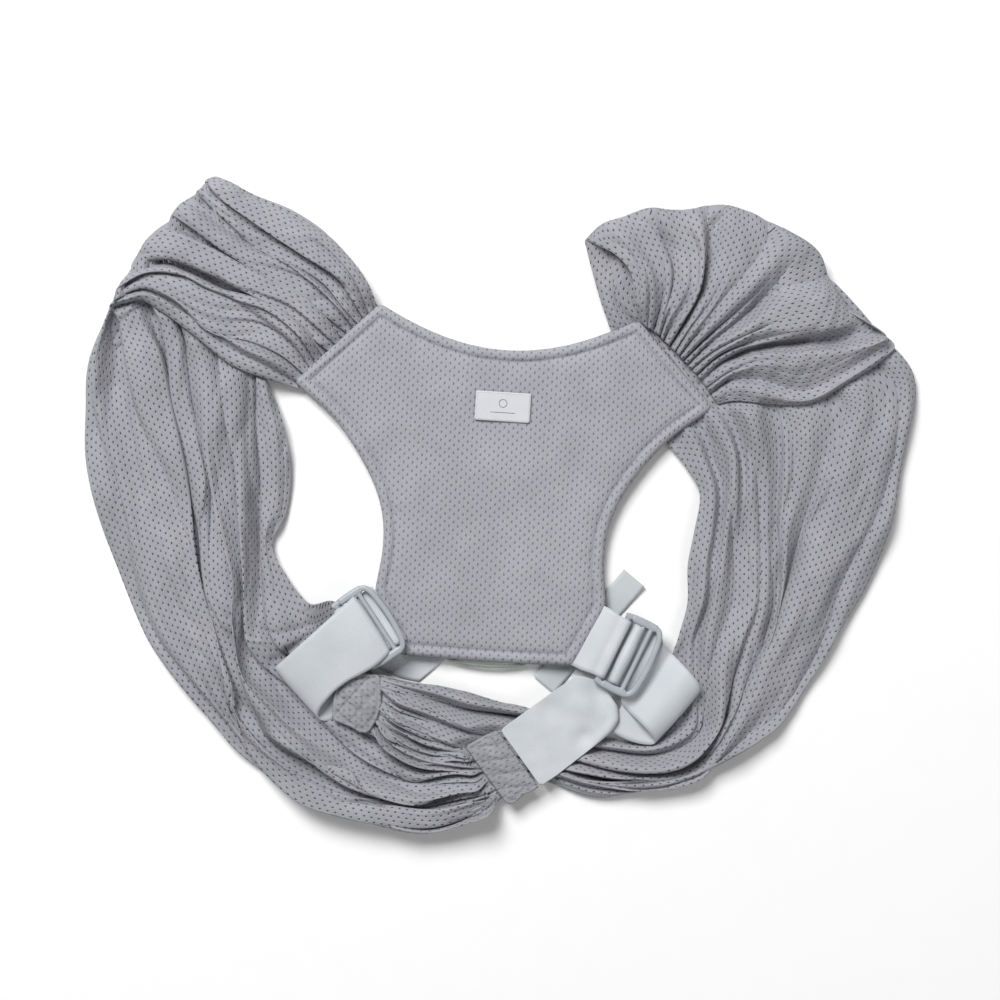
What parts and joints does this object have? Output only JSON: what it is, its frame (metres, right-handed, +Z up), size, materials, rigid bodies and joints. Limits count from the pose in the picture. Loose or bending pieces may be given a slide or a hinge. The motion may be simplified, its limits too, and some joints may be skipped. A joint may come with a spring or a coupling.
{
  "type": "soft baby carrier",
  "caption": "Soft baby carrier laid flat: padded hourglass mesh panel, two gathered mesh shoulder straps, webbing with ladder-lock sliders.",
  "frame": {"origin": "middle of the laid-out object's outline, on the surface it lies on", "axes": "+X to the object's right and +Y towards its shoulder edge, seen from above; +Z up, out of the panel's front"},
  "size_m": [0.6162, 0.4804, 0.031],
  "materials": {
    "strap_cloth": "matt perforated knitted mesh",
    "panel_cloth": "matt perforated knitted mesh",
    "padding": "soft polyester wadding",
    "webbing": "satin fine ribbed webbing",
    "tape": "satin plain tape",
    "label": "woven satin label",
    "slider_plastic": "satin moulded acetal"
  },
  "bodies": {
    "carrier": {"left_strap_shoulder": "strap_cloth", "left_strap_over_fold": "strap_cloth", "left_strap_under_fold": "strap_cloth", "left_strap_side": "strap_cloth", "left_strap_lower_side": "strap_cloth", "left_strap_corner": "strap_cloth", "left_strap_end": "strap_cloth", "right_strap_shoulder": "strap_cloth", "right_strap_over_fold": "strap_cloth", "right_strap_under_fold": "strap_cloth", "right_strap_side": "strap_cloth", "right_strap_lower_side": "strap_cloth", "right_strap_corner": "strap_cloth", "right_strap_bottom": "strap_cloth", "right_strap_end": "strap_cloth", "left_tab_back": "strap_cloth", "left_tab_strap_end": "strap_cloth", "left_tab_front": "strap_cloth", "right_tab_back": "strap_cloth", "right_tab_strap_end": "strap_cloth", "right_tab_front": "strap_cloth", "panel_back_cover": "panel_cloth", "panel_front_cover": "panel_cloth", "panel_edge_binding": "panel_cloth", "left_anchor_webbing": "webbing", "left_webbing_upper_leg": "webbing", "left_webbing_lower_leg": "webbing", "right_anchor_webbing": "webbing", "right_webbing_wide_leg": "webbing", "right_webbing_loop": "webbing", "keeper_tape": "tape", "panel_padding": "padding", "woven_label": "label"},
    "left_slider": {"left_slider": "slider_plastic", "left_webbing_in_slider": "webbing"},
    "right_slider": {"right_slider": "slider_plastic", "right_webbing_in_slider": "webbing"},
    "left_tail": {"left_webbing_tail": "webbing"},
    "right_tail": {"right_webbing_tail": "webbing"}
  },
  "joints": [
    {"name": "left_slider_tilt", "type": "hinge", "parent": "carrier", "child": "left_slider", "pos_m": [-0.10652, -0.09886, 0.0195], "axis": [0.549, -0.8358, 0], "range_deg": [0, 45]},
    {"name": "right_slider_tilt", "type": "hinge", "parent": "carrier", "child": "right_slider", "pos_m": [0.08348, -0.10836, 0.0195], "axis": [-0.4384, -0.8988, 0], "range_deg": [0, 45]},
    {"name": "left_tail_slide", "type": "slide", "parent": "carrier", "child": "left_tail", "axis": [0.6388, -0.7694, 0], "range_m": [0, 0.03]},
    {"name": "right_tail_slide", "type": "slide", "parent": "carrier", "child": "right_tail", "axis": [-0.8988, 0.4384, 0], "range_m": [0, 0.03]}
  ]
}
